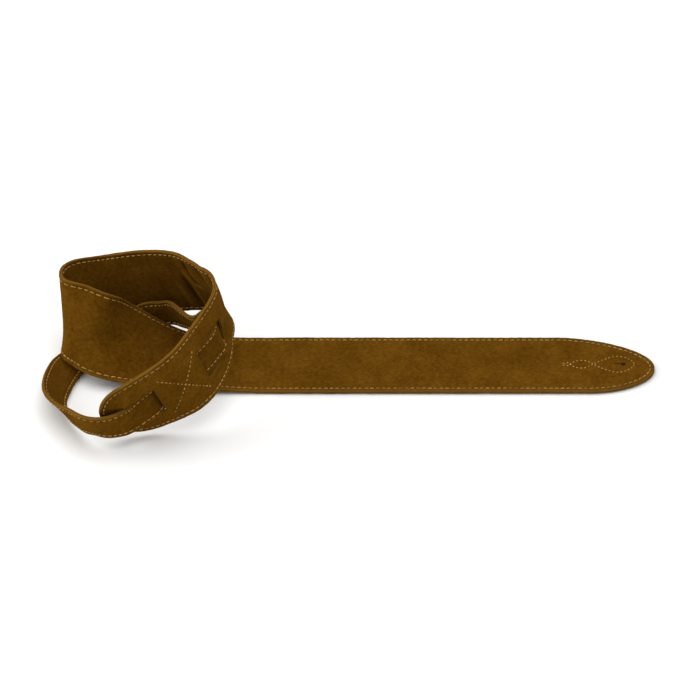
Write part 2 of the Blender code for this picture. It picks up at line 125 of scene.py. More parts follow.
# Tail stations from its plain end, under the front of the coil, round the left loop
TAIL_LOOP = (
    (-101, 21, 1.0, 1, 133),
    (-112, 11, 1.2, 2, 133),
    (-122, 1, 2.2, 6, 134),
    (-129, -13, 4.6, 20, 141),
    (-133, -28, 8.0, 34, 154),
    (-136, -45, 9.6, 43, -164),
    (-133, -62, 11.2, 52, -143),
    (-121.5, -80.5, 15, 65, -130),
    (-107.5, -96.7, 21, 66, -136),
)
# then through the windows: place along the wide strap, place across it, distance outside
# it, and roll about the tail's own length in degrees
TAIL_WOVEN = (
    (470, 6.2, 6.7, -5), (459, 2.2, 7.7, -4.5), (448, -2.6, 4.0, -8), (437, -3.0, 0.9, -12),
    (431, -3.2, -1.4, -8), (425, -2.7, -4.1, 0), (414, -2.4, -3.8, 0), (403, -2.4, -3.8, 0),
    (392, -2.4, -3.8, 0), (381, -2.4, -3.8, 0), (371, -2.4, -1.9, 0), (362, -2.4, 0.0, 0),
    (353, -2.8, -0.1, -2), (344, -2.8, -4.7, 0),
)
# and on inside the coil to the button-hole end
TAIL_END = (
    (-15.8, -14.3, 54.4, 66, -165),
    (-19.5, -8.6, 47.6, 60, -168),
    (-23.6, -3.2, 41.8, 55, -172),
    (-29.2, 5.6, 36.8, 54, -177),
    (-37, 18.5, 31.8, 60, 173),
    (-44.5, 31, 25.5, 74, -115),
    (-51.5, 36.4, 21.7, 80, -95),
    (-59, 36.3, 20.2, 88, 90),
    (-68, 33.8, 19.8, 81, 90),
    (-79, 32.0, 19.6, 80, 90),
)

# ---------------------------------------------------------------- the strap in space
def direction(lean, heading):
    a, b = math.radians(lean), math.radians(heading)
    return np.array([math.cos(a) * math.cos(b), math.cos(a) * math.sin(b), math.sin(a)])


def unit(v):
    return v / np.maximum(np.linalg.norm(v, axis=-1, keepdims=True), 1e-12)


def natural_spline(knots, values, at):
    n = len(knots)
    h = np.diff(knots)
    a = np.zeros((n, n))
    r = np.zeros((n, values.shape[1]))
    a[0, 0] = a[-1, -1] = 1
    for i in range(1, n - 1):
        a[i, i - 1], a[i, i], a[i, i + 1] = h[i - 1], 2 * (h[i - 1] + h[i]), h[i]
        r[i] = 6 * ((values[i + 1] - values[i]) / h[i] - (values[i] - values[i - 1]) / h[i - 1])
    m = np.linalg.solve(a, r)
    i = np.clip(np.searchsorted(knots, at) - 1, 0, n - 2)
    t = (at - knots[i])[:, None]
    hi = h[i][:, None]
    return (
        values[i]
        + t * ((values[i + 1] - values[i]) / hi - hi * (2 * m[i] + m[i + 1]) / 6)
        + t ** 2 * m[i] / 2
        + t ** 3 * (m[i + 1] - m[i]) / (6 * hi)
    )


class Strip:
    def __init__(self, centres, widths, up_first):
        knots = np.concatenate([[0], np.cumsum(np.linalg.norm(np.diff(centres, axis=0), axis=1))])
        fine = np.linspace(0, knots[-1], int(knots[-1] * 2) + 1)
        both = natural_spline(knots, np.hstack([centres, widths]), fine)
        self.c = both[:, :3]
        tangent = unit(np.gradient(self.c, axis=0))
        w = both[:, 3:]
        w = unit(w - (w * tangent).sum(1, keepdims=True) * tangent)
        normal = np.cross(w, tangent)
        if normal[0] @ np.array(up_first, float) < 0:
            normal = -normal
        self.t, self.w, self.n = tangent, w, normal
        self.s = np.concatenate([[0], np.cumsum(np.linalg.norm(np.diff(self.c, axis=0), axis=1))])
        self.length = float(self.s[-1])

    def read(self, s, table):
        return np.stack([np.interp(s, self.s, table[:, k]) for k in range(3)], axis=-1)

    def flat_point(self, s, u):
        return self.read(s, self.c) + np.asarray(u)[..., None] * unit(self.read(s, self.w))

    def points(self, s, u, n):
        s, u, n = np.broadcast_arrays(np.asarray(s, float), np.asarray(u, float), np.asarray(n, float))
        here = self.flat_point(s, u)
        a, b = np.maximum(s - 1.5, 0.0), np.minimum(s + 1.5, self.length)
        along = self.flat_point(b, u) - self.flat_point(a, u)
        out = unit(np.cross(self.read(s, self.w), along))
        facing = np.sign((out * self.read(s, self.n)).sum(-1, keepdims=True))
        facing[facing == 0] = 1
        return here + n[..., None] * out * facing


coil = Strip(np.array([(x, y, z + MID_HEIGHT) for x, y, z, _, _ in COIL], float),
             np.array([direction(a, b) for *_, a, b in COIL]), (0, 0, 1))
STRETCH = coil.length / COIL_END


def on_wide(s, u, n=0.0):
    """Wide strap: s from the start of the coil, negative along the flat run, in mm of the layout."""
    s, u, n = np.broadcast_arrays(np.asarray(s, float), np.asarray(u, float), np.asarray(n, float))
    bent = coil.points(np.maximum(s, 0.0) * STRETCH, u, n)
    flat = np.stack([COIL_START_X - s, u, MID_HEIGHT + n], axis=-1)
    return np.where((s <= 0)[..., None], flat, bent)


def tail_strip():
    centres, widths = [], []
    for x, y, z, a, b in TAIL_LOOP:
        centres.append((x, y, z + MID_HEIGHT))
        widths.append(direction(a, b))
    for s, across, out, roll in TAIL_WOVEN:
        here = on_wide(s, across, out)
        centres.append(here)
        a = math.radians(roll)
        widths.append(unit(on_wide(s, across + 1, out) - here) * math.cos(a)
                      + unit(on_wide(s, across, out + 1) - here) * math.sin(a))
    for x, y, z, a, b in TAIL_END:
        centres.append((x, y, z + MID_HEIGHT))
        widths.append(direction(a, b))
    return Strip(np.array(centres, float), np.array(widths), (0, 0, -1))


tail = tail_strip()
TAIL_LENGTH = tail.length
_half_way = tail.read(TAIL_LENGTH * 0.5, tail.c)
_near = int(np.argmin(np.linalg.norm(coil.c - _half_way, axis=1)))
TAIL_FACE = 1.0 if tail.read(TAIL_LENGTH * 0.5, tail.n) @ coil.n[_near] > 0 else -1.0


def on_tail(s, u, n=0.0):
    return tail.points(s, u, np.asarray(n, float) * TAIL_FACE)


# ---------------------------------------------------------------- noise and outlines
def lattice(seed, size=256):
    return np.random.default_rng(seed).uniform(-1, 1, (size, size))


_lattices = {}


def noise2(x, y, scale, seed):
    """Smooth noise in -1..1 over the strap, with features about `scale` mm across."""
    grid = _lattices.setdefault(seed, lattice(seed))
    x, y = np.asarray(x, float) / scale + 1000.0, np.asarray(y, float) / scale + 1000.0
    i, j = np.floor(x).astype(int), np.floor(y).astype(int)
    fx, fy = x - i, y - j
    fx, fy = fx * fx * (3 - 2 * fx), fy * fy * (3 - 2 * fy)
    g = lambda a, b: grid[a % 256, b % 256]
    return ((g(i, j) * (1 - fx) + g(i + 1, j) * fx) * (1 - fy)
            + (g(i, j + 1) * (1 - fx) + g(i + 1, j + 1) * fx) * fy)


def tip_side(d, reach, length, power):
    inside = np.clip(1 - (1 - np.clip(d / length, 0, 1)) ** power, 0, None)
    return reach * np.sqrt(inside)


def wide_edges(s):
    """Lowest and highest u of the wide strap's outline at s."""
    s = np.asarray(s, float)
    d = np.maximum(TIP_X - (COIL_START_X - s), 0.0)
    high = TIP_SHIFT + tip_side(d, HALF - TIP_SHIFT, TIP_FAR_LENGTH, TIP_FAR_POWER)
    low = TIP_SHIFT - tip_side(d, HALF + TIP_SHIFT, TIP_NEAR_LENGTH, TIP_NEAR_POWER)
    e = COIL_END - s
    end_low = END_SHIFT - tip_side(e, HALF + END_SHIFT, END_LOW_ROUND, 2.0)
    end_high = END_SHIFT + tip_side(e, HALF - END_SHIFT, END_HIGH_ROUND, 2.0)
    return np.where(s > 0, end_low, low), np.where(s > 0, end_high, high)


def tail_edges(s):
    s = np.asarray(s, float)
    k = np.sqrt(np.clip(1 - (1 - np.clip((TAIL_LENGTH - s) / TAIL_ROUND, 0, 1)) ** 2, 0, None))
    return -TAIL_HALF * k, TAIL_HALF * k


def outline(edges, a, b, round_a, round_b):
    """Closed outline as a dense polyline in strap coordinates, going up one side and down the other."""
    span = np.linspace(0, 1, 1400)
    ease = span
    if round_a and round_b:
        ease = 0.5 - 0.5 * np.cos(np.pi * span)
    elif round_a:
        ease = 1 - np.cos(0.5 * np.pi * span)
    elif round_b:
        ease = np.sin(0.5 * np.pi * span)
    s = a + (b - a) * ease
    low, high = edges(s)
    return np.vstack([np.column_stack([s, low]), np.column_stack([s[::-1], high[::-1]])])


TIP_S = COIL_START_X - TIP_X
WIDE_OUTLINE = outline(wide_edges, TIP_S, COIL_END, True, True)
TAIL_OUTLINE = outline(tail_edges, 0.0, TAIL_LENGTH, False, True)


def resample(path, step):
    """Points at even arc length along an open polyline, with the direction at each."""
    seg = np.linalg.norm(np.diff(path, axis=0), axis=1)
    keep = np.concatenate([[True], seg > 1e-6])
    path = path[keep]
    arc = np.concatenate([[0], np.cumsum(np.linalg.norm(np.diff(path, axis=0), axis=1))])
    count = max(1, int(round(arc[-1] / step)))
    at = (np.arange(count) + 0.5) * arc[-1] / count
    centre = np.column_stack([np.interp(at, arc, path[:, k]) for k in (0, 1)])
    ahead = np.column_stack([np.interp(np.minimum(at + 0.8, arc[-1]), arc, path[:, k]) for k in (0, 1)])
    behind = np.column_stack([np.interp(np.maximum(at - 0.8, 0), arc, path[:, k]) for k in (0, 1)])
    return centre, unit(ahead - behind)


def inset_path(closed, inset):
    """The outline moved inwards."""
    ring = closed
    tangent = unit(np.roll(ring, -1, axis=0) - np.roll(ring, 1, axis=0))
    normal = np.column_stack([-tangent[:, 1], tangent[:, 0]])
    moved = ring + normal * inset
    return moved


def edge_distance(s, u, closed, windows=()):
    """Distance in mm from strap points to the nearest cut edge."""
    flat = np.column_stack([np.ravel(s), np.ravel(u)])
    seg = np.linalg.norm(np.diff(closed, axis=0), axis=1)
    arc = np.concatenate([[0], np.cumsum(seg)])
    at = np.arange(0, arc[-1], 0.35)
    dense = np.column_stack([np.interp(at, arc, closed[:, k]) for k in (0, 1)])
    from mathutils import kdtree
    tree = kdtree.KDTree(len(dense))
    for k, p in enumerate(dense):
        tree.insert((p[0], p[1], 0), k)
    tree.balance()
    d = np.empty(len(flat))
    for k, p in enumerate(flat):
        d[k] = tree.find((p[0], p[1], 0))[2]
    for a, b in windows:
        ds = np.maximum(np.maximum(a - flat[:, 0], flat[:, 0] - b), 0)
        du = np.maximum(np.abs(flat[:, 1] - SLOT_MID) - SLOT_HALF, 0)
        d = np.minimum(d, np.hypot(ds, du))
    return d.reshape(np.shape(s))


# ---------------------------------------------------------------- shape of the surface
def ridge(s, u, s0, u0, s1, u1, width, height, sharp=2.0):
    """A fold or a crease along a line in strap coordinates."""
    a, b = np.array([s0, u0], float), np.array([s1, u1], float)
    d = b - a
    length = np.linalg.norm(d)
    d /= length
    along = (s - a[0]) * d[0] + (u - a[1]) * d[1]
    across = -(s - a[0]) * d[1] + (u - a[1]) * d[0]
    fade = np.clip(along / length, 0, 1)
    over = np.abs(along - np.clip(along, 0, length))
    return height * np.exp(-np.abs(across / width) ** sharp) * np.sin(np.pi * (0.12 + 0.76 * fade)) * np.exp(-(over / width) ** 2)


def wide_folds(s, u):
    """The folds of the tight turn: height of each along the strap's face normal (mm)."""
    b = ridge(s, u, 280, 24, 287, 2, 1.6, 2.8)
    b = b + ridge(s, u, 284, 20, 291, 2, 1.8, -1.5)
    b = b + ridge(s, u, 276, 12, 284, -4, 1.6, -2.0)
    b = b + ridge(s, u, 284, 0, 292, -4, 1.7, -1.3)
    b = b + ridge(s, u, 273, 4, 277, -27, 2.4, 1.9)
    b = b + ridge(s, u, 279, -6, 285, -28, 2.4, -1.4)
    b = b + ridge(s, u, 266, -4, 270, -28, 2.2, -1.2)
    b = b + ridge(s, u, 297, 31, 300, 10, 4.0, 0.9)
    b = b + ridge(s, u, 307, 33, 310, 12, 3.0, -1.1)
    b = b + ridge(s, u, 318, 28, 322, -4, 3.5, 1.0)
    b = b + ridge(s, u, 325, 30, 329, 4, 2.6, -0.8)
    return b + ridge(s, u, 262, -31, 259, -6, 3.5, -0.5)


def wide_buckle(s, u):
    """How far the whole strap bulges along its face normal (mm): slow waves, and the folds."""
    bent = np.clip(s / 30, 0, 1)
    waves = (0.45 * noise2(s, u, 44, 11) + 0.25 * noise2(s, u, 19, 12)) * bent
    # the leather sags a little round the far window, where the tail pulls it in
    waves = waves - 3.4 * np.exp(-((s - 338.5) / 6.5) ** 2 - ((u + 11) / 8.5) ** 2)
    waves = waves - 2.6 * np.exp(-((s - 350) / 9.0) ** 2 - ((u + 19.5) / 4.5) ** 2)
    waves = waves + 3.4 * np.exp(-((s - 447) / 9.5) ** 2 - ((u - 14) / 4.8) ** 2)
    return waves + 0.12 * (noise2(s, u, 30, 13) + 0.6) * np.clip(-s / 30, 0, 1) + wide_folds(s, u)


def tail_at(s, u=0.0):
    """Place along the tail that lies nearest to a place on the wide strap."""
    return float(tail.s[np.argmin(np.linalg.norm(tail.c - on_wide(s, u), axis=1))])


CURL_1, CURL_2 = tail_at(352, SLOT_MID), tail_at(431, SLOT_MID)
IN_WINDOW_1 = tail_at(SLOT_1[1], SLOT_MID), tail_at(SLOT_1[0], SLOT_MID)
IN_WINDOW_2 = tail_at(SLOT_2[1], SLOT_MID), tail_at(SLOT_2[0], SLOT_MID)


def step(x, a, b, soft):
    """1 between a and b, falling to 0 outside them."""
    return 1 / (1 + np.exp(np.clip((a - x) / soft, -40, 40))) / (1 + np.exp(np.clip((x - b) / soft, -40, 40)))


def tail_shade(s, u):
    """Painted shade on the tail: darker inside the windows, darker still in the crevices at the windows' ends, and
    along its edges in the far window.
    """
    shade = -0.30 * step(s, *IN_WINDOW_1, 1.5) - 0.45 * step(s, *IN_WINDOW_2, 3.0)
    for end, amount in ((IN_WINDOW_1[0], 1.0), (IN_WINDOW_1[1], 0.8), (IN_WINDOW_2[1], 1.3)):
        shade = shade - amount * np.exp(-((s - end) / 2.2) ** 2)
    rims = np.exp(-((TAIL_HALF - np.abs(u)) / 1.2) ** 2)
    return shade - 0.5 * rims * step(s, *IN_WINDOW_1, 2.0)


def window_shade(s, u):
    """Painted shade: the wide strap is darker along the edges of its windows."""
    shade = 0.0
    for (a, b), amount in ((SLOT_1, 1.0), (SLOT_2, 0.8)):
        ds = np.maximum(np.maximum(a - s, s - b), 0)
        du = np.maximum(np.abs(u - SLOT_MID) - SLOT_HALF, 0)
        shade = shade - amount * np.exp(-(np.hypot(ds, du) / 1.5) ** 2)
    return shade


def tail_buckle(s, u):
    waves = 0.22 * noise2(s, u, 22, 21) + 0.12 * noise2(s, u, 9, 22)
    # its lower edge curls out where it comes up through a window
    low = np.clip(-np.asarray(u, float) / TAIL_HALF, 0, 1) ** 1.6
    waves = waves + low * (1.9 * np.exp(-((s - CURL_1) / 6.0) ** 2) + 1.6 * np.exp(-((s - CURL_2) / 6.0) ** 2))
    # and it bulges where it turns down behind the far window
    return waves + 3.0 * np.exp(-((s - IN_WINDOW_1[1] - 7.0) / 7.0) ** 2 - ((u - 2.0) / 9.0) ** 2)


def pillow(d, s, u, inset, seed):
    """Height of a layer's outer skin against its nominal plane: edge bead, stitch channel, soft middle."""
    radius = 0.48
    inside = np.clip(radius - d, 0, radius)
    rounding = radius - np.sqrt(np.maximum(radius ** 2 - inside ** 2, 0))
    channel = -0.42 * np.exp(-((d - inset) / 0.85) ** 2)
    swell = 0.16 * np.exp(-((d - inset * 0.48) / 0.9) ** 2) - 0.10 * np.exp(-((d - inset) / 2.6) ** 2)
    fine = 0.05 * noise2(s, u, 2.6, seed) + 0.05 * noise2(s, u, 6.0, seed + 1)
    return -rounding + (channel + swell + fine) * np.clip(d / radius, 0, 1)


# ---------------------------------------------------------------- layers
def edge_steps(inset):
    return [0.0, 0.05, 0.16, 0.32, 0.55, 0.95, 1.5, 2.1, 2.6, 2.95, 3.25, 3.6, 4.1, 4.9, 6.0]


def between(a, b, step, ends_fine=True):
    """Column positions from a to b, close together at both ends where there are cut edges."""
    near = [a + e for e in edge_steps(0)]
    far = [b - e for e in edge_steps(0)][::-1]
    middle = list(np.linspace(near[-1], far[0], max(2, int((far[0] - near[-1]) / step) + 1)))[1:-1]
    return near + middle + far


WINDOW_LOW, WINDOW_HIGH = SLOT_MID - SLOT_HALF, SLOT_MID + SLOT_HALF


def wide_columns():
    """Column positions across the wide strap, with close columns at its edges and at the windows' edges."""
    outer_low = [-HALF + e for e in edge_steps(0)]
    outer_high = [HALF - e for e in edge_steps(0)][::-1]
    near = [0.0, 0.16, 0.5, 1.0, 1.7]
    low = [WINDOW_LOW - e for e in near[::-1]]
    high = [WINDOW_HIGH + e for e in near]
    part = lambda a, b: list(np.linspace(a, b, max(2, int(abs(b - a) / 1.25) + 1)))[1:-1]
    return np.array(outer_low + part(outer_low[-1], low[0]) + low + part(WINDOW_LOW, WINDOW_HIGH)
                    + high + part(high[-1], outer_high[0]) + outer_high)


WIDE_COLUMNS = wide_columns()
AT_WINDOW_END = [float(e) for e in wide_edges(SLOT_2[1])]


def wide_u(s):
    """u of every column at each station s: columns follow the outline, and stay put at the windows."""
    low, high = wide_edges(s)
    u = np.empty((len(s), len(WIDE_COLUMNS)))
    for i, (a, b) in enumerate(zip(low, high)):
        if s[i] <= 0:
            u[i] = a + (b - a) * (WIDE_COLUMNS + HALF) / WIDTH
        else:
            ends = [WINDOW_LOW, WINDOW_HIGH]
            if s[i] > SLOT_2[1]:
                low_end, high_end = AT_WINDOW_END
                ends = [a + (b - a) * (e - low_end) / (high_end - low_end) for e in ends]
            u[i] = np.interp(WIDE_COLUMNS, [-HALF, WINDOW_LOW, WINDOW_HIGH, HALF], [a, *ends, b])
    return u


def tail_u(s):
    low, high = tail_edges(s)
    base = np.array(between(-TAIL_HALF, TAIL_HALF, 1.2))
    return low[:, None] + (high - low)[:, None] * (base + TAIL_HALF) / TAIL_WIDTH


def stations(a, b, step, fine_at=(), round_at=()):
    """Stations from a to b; fine_at places get close stations on both sides, round_at ends get ever closer ones."""
    plain = list(np.linspace(a, b, max(2, int(abs(b - a) / step) + 1)))
    marks = []
    for m in fine_at:
        if a < m < b:
            marks += [m + e for e in (-1.6, -0.9, -0.45, -0.15, 0, 0.15, 0.45, 0.9, 1.6)]
    for end, sign in round_at:
        marks += [end + sign * e for e in (0.002, 0.02, 0.06, 0.14, 0.26, 0.42, 0.62, 0.88, 1.2, 1.55, 2.0, 2.5, 3.1, 3.8, 4.6, 5.5)]
    kept = [p for p in plain if all(abs(p - m) > 0.3 * step for m in marks)]
    kept = [p for p in kept if all(not (min(end, end + sign * 5.5) < p < max(end, end + sign * 5.5)) for end, sign in round_at)]
    out = sorted(m for m in kept + marks if a - 1e-9 <= m <= b + 1e-9)
    return np.array([p for k, p in enumerate(out) if k == 0 or p - out[k - 1] > 1e-4])


def suede_uv(mesh, s, u, shift):
    layer = mesh.uv_layers.new(name="strap")
    index = np.empty(len(mesh.loops), np.int32)
    mesh.loops.foreach_get("vertex_index", index)
    flat = np.column_stack([s[index] / 10 + shift, u[index] / 10 + shift * 0.5]).astype(np.float32)
    layer.data.foreach_set("uv", flat.ravel())


def slab(name, where, s_rows, u_grid, closed, buckle, inset, side, seed, windows=(), capped=()):
    """One suede layer as a closed-edged skin: outer face, rounded cut edges and inner face."""
    rows, cols = u_grid.shape
    s_grid = np.repeat(s_rows[:, None], cols, axis=1)
    d = edge_distance(s_grid, u_grid, closed, windows)
    d[:, 0] = 0
    d[:, -1] = 0
    lift = buckle(s_grid, u_grid)
    # the cut edge isn't quite straight, and the two layers don't quite match
    wander = (0.16 * noise2(s_grid, u_grid * 0 + side * 7, 9, seed + 5) + 0.10 * noise2(s_grid, u_grid * 0 + side * 3, 3.1, seed + 6))
    pull = wander * np.exp(-d / 1.5)
    middle = np.full(rows, 0.5) * (u_grid[:, 0] + u_grid[:, -1])
    outward = np.sign(u_grid - middle[:, None])
    in_window = np.zeros_like(d, bool)
    for a, b in windows:
        in_window |= (s_grid > a - 3) & (s_grid < b + 3) & (np.abs(u_grid - SLOT_MID) < SLOT_HALF + 3)
    u_at = u_grid + np.where(in_window, 0, pull * outward)
    top_n = HALF_STACK + pillow(d, s_grid, u_grid, inset, seed)
    low_r = 0.16
    near = np.clip(low_r - d, 0, low_r)
    bottom_n = PLY_GAP / 2 + (low_r - np.sqrt(np.maximum(low_r ** 2 - near ** 2, 0)))
    top = where(s_grid, u_at, side * top_n + lift)
    bottom = where(s_grid, u_at, side * bottom_n + lift)
    verts = np.vstack([top.reshape(-1, 3), bottom.reshape(-1, 3)])
    count = rows * cols
    quads = []
    index = np.arange(count).reshape(rows, cols)
    keep = np.ones((rows - 1, cols - 1), bool)
    cs, cu = 0.5 * (s_grid[:-1, :-1] + s_grid[1:, 1:]), 0.5 * (u_grid[:-1, :-1] + u_grid[1:, 1:])
    for a, b in windows:
        keep &= ~((cs > a) & (cs < b) & (np.abs(cu - SLOT_MID) < SLOT_HALF))
    a, b, c, e = index[:-1, :-1][keep], index[:-1, 1:][keep], index[1:, 1:][keep], index[1:, :-1][keep]
    up = np.column_stack([a, b, c, e])
    down = np.column_stack([a, e, c, b]) + count
    # boundary edges of the kept quads get a wall, except along the borders shared with the next length
    edges = {}
    for quad in up:
        for k in range(4):
            p, q = int(quad[k]), int(quad[(k + 1) % 4])
            if (q, p) in edges:
                del edges[(q, p)]
            else:
                edges[(p, q)] = True
    open_rows = {r for r, is_cap in ((0, "start" in capped), (rows - 1, "end" in capped)) if not is_cap}
    walls = []
    for p, q in edges:
        rp, rq = p // cols, q // cols
        if rp == rq and rp in open_rows:
            continue
        walls.append((q, p, p + count, q + count))
    faces = np.vstack([up, down, np.array(walls, int)])
    metres = (verts - ORIGIN) * MM
    mesh = bpy.data.meshes.new(name)
    mesh.vertices.add(len(metres))
    mesh.vertices.foreach_set("co", metres.astype(np.float32).ravel())
    mesh.loops.add(faces.size)
    mesh.loops.foreach_set("vertex_index", faces.astype(np.int32).ravel())
    mesh.polygons.add(len(faces))
    mesh.polygons.foreach_set("loop_start", np.arange(0, faces.size, 4, dtype=np.int32))
    mesh.polygons.foreach_set("loop_total", np.full(len(faces), 4, np.int32))
    mesh.update(calc_edges=True)
    # unused vertices inside the windows go
    import bmesh
    sv = np.concatenate([s_grid.ravel(), s_grid.ravel()])
    uv = np.concatenate([u_grid.ravel(), u_grid.ravel()])
    suede_uv(mesh, sv, uv, 0.0 if side > 0 else 37.0)
    # lighter cut edges: partly the raw edge's own tone, partly a painted highlight where the rounded edges catch the
    # light
    edge_tone_and_highlight = np.concatenate([np.exp(-d.ravel() / 0.55), np.maximum(np.exp(-d.ravel() / 0.3), 0)])
    attribute = mesh.attributes.new("edge", "FLOAT", "POINT")
    attribute.data.foreach_set("value", edge_tone_and_highlight.astype(np.float32))
    # painted shade and light, kept in the 'fold' attribute: darker in fold hollows and round the windows, lighter on
    # fold ridges
    if where is on_wide:
        painted_shading = (side * wide_folds(s_grid, u_grid) + window_shade(s_grid, u_grid)).ravel()
    else:
        painted_shading = tail_shade(s_grid, u_grid).ravel()
    attribute = mesh.attributes.new("fold", "FLOAT", "POINT")
    attribute.data.foreach_set("value", np.concatenate([painted_shading, painted_shading]).astype(np.float32))
    bm = bmesh.new()
    bm.from_mesh(mesh)
    bmesh.ops.delete(bm, geom=[v for v in bm.verts if not v.link_faces], context="VERTS")
    bmesh.ops.recalc_face_normals(bm, faces=bm.faces)
    bm.to_mesh(mesh)
    bm.free()
    outer = mesh.polygons[0]
    mesh.shade_smooth()
    obj = bpy.data.objects.new(name, mesh)
    bpy.context.scene.collection.objects.link(obj)
    q = mesh.polygons[len(up) // 2]
    return obj


def stitches(name, where, buckle, marks, closed, inset, length, seed):
    """A dash of thread for every stitch, on both sides of the strap, each end sinking into its hole."""
    verts, faces = [], []
    ts = np.linspace(-1, 1, 9)
    ring = np.linspace(0, 2 * np.pi, 9)[:-1]
    rng = np.random.default_rng(seed)
    for s0, u0, ds, du, sides, lift_extra, share in marks:
        size = length * share * (1 + 0.08 * rng.uniform(-1, 1))
        turn = 0.07 * rng.uniform(-1, 1)
        ds, du = ds * math.cos(turn) - du * math.sin(turn), ds * math.sin(turn) + du * math.cos(turn)
        s = s0 + ts * ds * size / 2
        u = u0 + ts * du * size / 2
        lifted = buckle(s, u)
        for side in sides:
            seat = HALF_STACK - 0.36 + lift_extra
            rise = 0.30 * (1 - 1.9 * np.abs(ts) ** 4)
            centre = where(s, u, side * (seat + rise) + lifted)
            above = where(s, u, side * (seat + rise + 1.0) + lifted)
            normal = unit(above - centre)
            tangent = unit(np.gradient(centre, axis=0))
            across = unit(np.cross(normal, tangent))
            radius = THREAD_RADIUS * (1 - 0.30 * np.abs(ts) ** 3)
            base = len(verts)
            for k in range(len(ts)):
                twist = 0.05 * math.sin(3.1 * k + s0)
                for angle in ring:
                    r = radius[k] * (1 + twist * math.cos(2 * angle))
                    verts.append(centre[k] + r * (math.cos(angle) * across[k] * 1.05 + math.sin(angle) * normal[k] * 0.9))
            m = len(ring)
            for k in range(len(ts) - 1):
                for j in range(m):
                    a, b = base + k * m + j, base + k * m + (j + 1) % m
                    faces.append((a, b, b + m, a + m))
            faces.append(tuple(base + j for j in range(m))[::-1])
            faces.append(tuple(base + (len(ts) - 1) * m + j for j in range(m)))
    mesh = bpy.data.meshes.new(name)
    mesh.from_pydata([tuple((v - ORIGIN) * MM) for v in verts], [], faces)
    mesh.validate()
    import bmesh
    bm = bmesh.new()
    bm.from_mesh(mesh)
    bmesh.ops.recalc_face_normals(bm, faces=bm.faces)
    bm.to_mesh(mesh)
    bm.free()
    mesh.shade_smooth()
    obj = bpy.data.objects.new(name, mesh)
    bpy.context.scene.collection.objects.link(obj)
    return obj


# ---------------------------------------------------------------- where the stitches are
def row_marks(closed, inset, pitch, sides=(1, -1)):
    """Stitches along the closed outline at a constant inset."""
    moved = inset_path(closed, inset)
    inside = edge_distance(moved[:, 0], moved[:, 1], closed) > inset - 0.3
    moved = moved[inside]
    ring = np.vstack([moved, moved[:1]])
    centre, along = resample(ring, pitch)
    return [(c[0], c[1], t[0], t[1], sides, 0.0, 1.0) for c, t in zip(centre, along)]


def line_marks(path, pitch, sides=(1, -1), extra=0.0, share=1.0):
    centre, along = resample(np.array(path, float), pitch)
    return [(c[0], c[1], t[0], t[1], sides, extra, share) for c, t in zip(centre, along)]


WIDE_MARKS = row_marks(WIDE_OUTLINE, STITCH_INSET, STITCH_PITCH)
TAIL_MARKS = row_marks(TAIL_OUTLINE, TAIL_INSET, 4.2)
CROSS_MARKS = (line_marks([(CROSS_S[0], CROSS_MID + CROSS_HALF), (CROSS_S[1], CROSS_MID - CROSS_HALF)], 3.5, (1, -1), 0.16, 0.66)
               + line_marks([(CROSS_S[1], CROSS_MID + CROSS_HALF), (CROSS_S[0], CROSS_MID - CROSS_HALF)], 3.5, (1, -1), 0.16, 0.66))


def chain_paths():
    """The three sewn loops round the button hole: two lines that cross at each waist."""
    loops = ((250.8, 256.7, 1.9, 1.9), (256.7, 274.2, 4.4, 4.6), (274.2, 306.0, 9.2, 9.4))
    first, second = [], []
    for k, (a, b, up, down) in enumerate(loops):
        steps = (6, 14, 26)[k]
        for i in range(steps + 1):
            f = i / steps
            lean = 1.0 if k < 2 else 1.35
            swell = max(math.sin(math.pi * f ** lean), 0.0) ** 0.72
            x = a + (b - a) * f
            high, low = up * swell - 0.3, -down * swell - 0.3
            one, two = (high, low) if k % 2 == 0 else (low, high)
            first.append((COIL_START_X - x, one))
            second.append((COIL_START_X - x, two))
    return first, second


CHAIN_MARKS = [m for path in chain_paths() for m in line_marks(path, 3.2, (1, -1), 0.08, 0.58)]


# ---------------------------------------------------------------- materials
def node(tree, kind, **inputs):
    made = tree.nodes.new(kind)
    for key, value in inputs.items():
        made.inputs[key.replace("_", " ")].default_value = value
    return made


